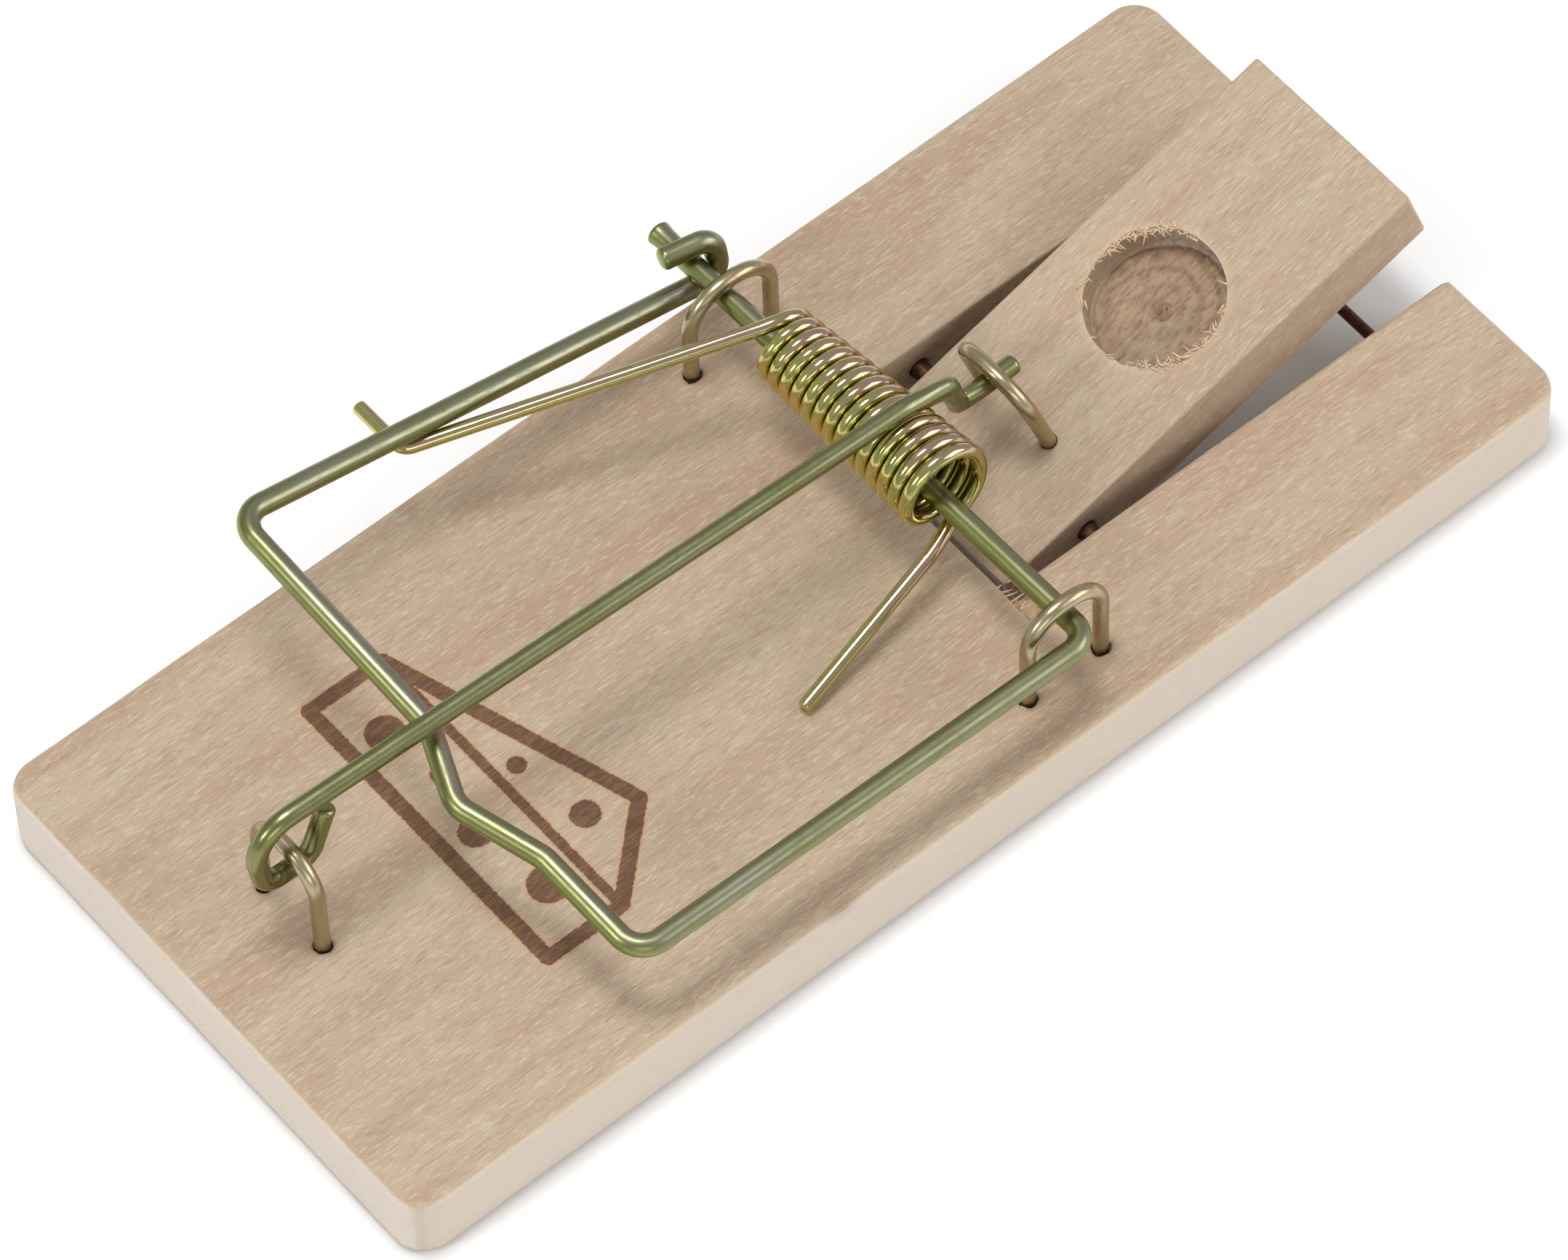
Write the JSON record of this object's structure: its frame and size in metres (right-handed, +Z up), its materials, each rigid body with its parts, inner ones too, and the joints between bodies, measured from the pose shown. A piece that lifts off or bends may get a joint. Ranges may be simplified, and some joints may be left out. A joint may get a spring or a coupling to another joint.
{
  "type": "snap mouse trap",
  "caption": "Wooden snap mouse trap in the set position: board, sprung wire bail, holding bar and a tilting treadle with a bait recess.",
  "frame": {"origin": "centre of the board's underside", "axes": "+X along the board towards the treadle's free end, +Y across the board, +Z up out of the board's top"},
  "size_m": [0.105, 0.0498, 0.02],
  "materials": {
    "board_wood": "planed bare beech",
    "treadle_wood": "planed bare beech",
    "bail_wire": "yellow chromated zinc, olive",
    "bar_wire": "yellow chromated zinc, olive green",
    "spring_wire": "yellow chromated zinc, bright gold",
    "staple_wire": "yellow chromated zinc, brownish gold",
    "pin_steel": "dark oxidised steel"
  },
  "bodies": {
    "base": {"base_board": "board_wood", "treadle_pivot_pin": "pin_steel", "treadle_stop_pin": "pin_steel", "axle_staple_far": "staple_wire", "axle_staple_near": "staple_wire", "holding_bar_staple": "staple_wire", "torsion_spring": "spring_wire"},
    "bail": {"striker_bail": "bail_wire"},
    "holding_bar": {"holding_bar": "bar_wire"},
    "treadle": {"treadle": "treadle_wood", "treadle_staple": "staple_wire"}
  },
  "joints": [
    {"name": "bail_swing", "type": "hinge", "parent": "base", "child": "bail", "pos_m": [0.00962, 0, 0.013], "axis": [-0.0164, 0.9999, 0], "range_deg": [0, 166], "deforming": ["torsion_spring"]},
    {"name": "holding_bar_swing", "type": "hinge", "parent": "base", "child": "holding_bar", "pos_m": [-0.0436, 0.0012, 0.0153], "axis": [0, -1, 0], "range_deg": [0, 180]},
    {"name": "treadle_tilt", "type": "hinge", "parent": "base", "child": "treadle", "pos_m": [0.02, 0, 0.00325], "axis": [0, 1, 0], "range_deg": [0, 11.2]}
  ]
}
